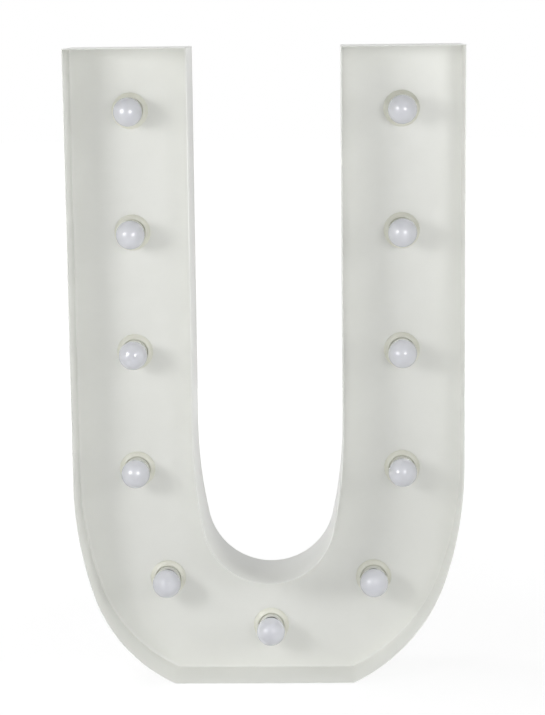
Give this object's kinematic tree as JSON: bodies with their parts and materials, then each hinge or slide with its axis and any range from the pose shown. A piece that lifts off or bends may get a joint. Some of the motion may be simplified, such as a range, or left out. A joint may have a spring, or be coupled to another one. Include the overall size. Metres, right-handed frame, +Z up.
{
  "type": "light-up letter",
  "caption": "Free-standing marquee letter U: a deep open-front tray of white sheet steel with opal globe bulbs in screw lampholders, rear switch and inlet.",
  "frame": {"origin": "middle of the flat base, half way through the letter's depth, on the surface that it stands on", "axes": "+Z up, the open front with the bulbs faces -Y, +X to the right seen from the front"},
  "size_m": [0.612, 0.145, 1],
  "materials": {
    "white_paint": "satin off-white powder coat",
    "zinc_plate": "bright zinc plate",
    "cream_moulding": "satin cream moulding",
    "brass": "plain stamped brass",
    "black_moulding": "fine textured black moulding",
    "brown_insulation": "smooth insulation",
    "blue_insulation": "smooth insulation",
    "green_insulation": "green insulation with a yellow stripe",
    "terminal_moulding": "natural nylon",
    "cap_metal": "rolled nickel plate",
    "opal_globe": "satin opal diffuser"
  },
  "bodies": {
    "letter": {"outer_return": "white_paint", "inner_return": "white_paint", "top_cap_left": "white_paint", "top_cap_right": "white_paint", "face_plate": "white_paint", "back_panel": "white_paint", "plate_tabs": "zinc_plate", "panel_tabs": "zinc_plate", "panel_screws": "zinc_plate", "terminal_screws": "zinc_plate", "earth_stud": "zinc_plate", "earth_nut": "zinc_plate", "inlet_screws": "zinc_plate", "shade_rings": "cream_moulding", "holder_caps": "cream_moulding", "lampholder_01": "cream_moulding", "lampholder_02": "cream_moulding", "lampholder_03": "cream_moulding", "lampholder_04": "cream_moulding", "lampholder_05": "cream_moulding", "lampholder_06": "cream_moulding", "lampholder_07": "cream_moulding", "lampholder_08": "cream_moulding", "lampholder_09": "cream_moulding", "lampholder_10": "cream_moulding", "lampholder_11": "cream_moulding", "thread_sleeves": "brass", "centre_contacts": "brass", "earth_lug": "brass", "inlet_pins": "brass", "switch_tabs": "brass", "power_inlet": "black_moulding", "switch_housing": "black_moulding", "live_wires": "brown_insulation", "neutral_wires": "blue_insulation", "earth_wire": "green_insulation", "terminal_block": "terminal_moulding"},
    "bulb_01": {"bulb_globe_01": "opal_globe", "bulb_cap_01": "cap_metal"},
    "bulb_02": {"bulb_globe_02": "opal_globe", "bulb_cap_02": "cap_metal"},
    "bulb_03": {"bulb_globe_03": "opal_globe", "bulb_cap_03": "cap_metal"},
    "bulb_04": {"bulb_globe_04": "opal_globe", "bulb_cap_04": "cap_metal"},
    "bulb_05": {"bulb_globe_05": "opal_globe", "bulb_cap_05": "cap_metal"},
    "bulb_06": {"bulb_globe_06": "opal_globe", "bulb_cap_06": "cap_metal"},
    "bulb_07": {"bulb_globe_07": "opal_globe", "bulb_cap_07": "cap_metal"},
    "bulb_08": {"bulb_globe_08": "opal_globe", "bulb_cap_08": "cap_metal"},
    "bulb_09": {"bulb_globe_09": "opal_globe", "bulb_cap_09": "cap_metal"},
    "bulb_10": {"bulb_globe_10": "opal_globe", "bulb_cap_10": "cap_metal"},
    "bulb_11": {"bulb_globe_11": "opal_globe", "bulb_cap_11": "cap_metal"},
    "rocker": {"switch_rocker": "black_moulding"}
  },
  "joints": [
    {"name": "bulb_01_unscrew", "type": "slide", "parent": "letter", "child": "bulb_01", "axis": [0, -1, 0], "range_m": [0, 0.022]},
    {"name": "bulb_02_unscrew", "type": "slide", "parent": "letter", "child": "bulb_02", "axis": [0, -1, 0], "range_m": [0, 0.022]},
    {"name": "bulb_03_unscrew", "type": "slide", "parent": "letter", "child": "bulb_03", "axis": [0, -1, 0], "range_m": [0, 0.022]},
    {"name": "bulb_04_unscrew", "type": "slide", "parent": "letter", "child": "bulb_04", "axis": [0, -1, 0], "range_m": [0, 0.022]},
    {"name": "bulb_05_unscrew", "type": "slide", "parent": "letter", "child": "bulb_05", "axis": [0, -1, 0], "range_m": [0, 0.022]},
    {"name": "bulb_06_unscrew", "type": "slide", "parent": "letter", "child": "bulb_06", "axis": [0, -1, 0], "range_m": [0, 0.022]},
    {"name": "bulb_07_unscrew", "type": "slide", "parent": "letter", "child": "bulb_07", "axis": [0, -1, 0], "range_m": [0, 0.022]},
    {"name": "bulb_08_unscrew", "type": "slide", "parent": "letter", "child": "bulb_08", "axis": [0, -1, 0], "range_m": [0, 0.022]},
    {"name": "bulb_09_unscrew", "type": "slide", "parent": "letter", "child": "bulb_09", "axis": [0, -1, 0], "range_m": [0, 0.022]},
    {"name": "bulb_10_unscrew", "type": "slide", "parent": "letter", "child": "bulb_10", "axis": [0, -1, 0], "range_m": [0, 0.022]},
    {"name": "bulb_11_unscrew", "type": "slide", "parent": "letter", "child": "bulb_11", "axis": [0, -1, 0], "range_m": [0, 0.022]},
    {"name": "rocker_tilt", "type": "hinge", "parent": "letter", "child": "rocker", "pos_m": [0.12, 0.062, 0.05], "axis": [1, 0, 0], "range_deg": [0, 18]}
  ]
}
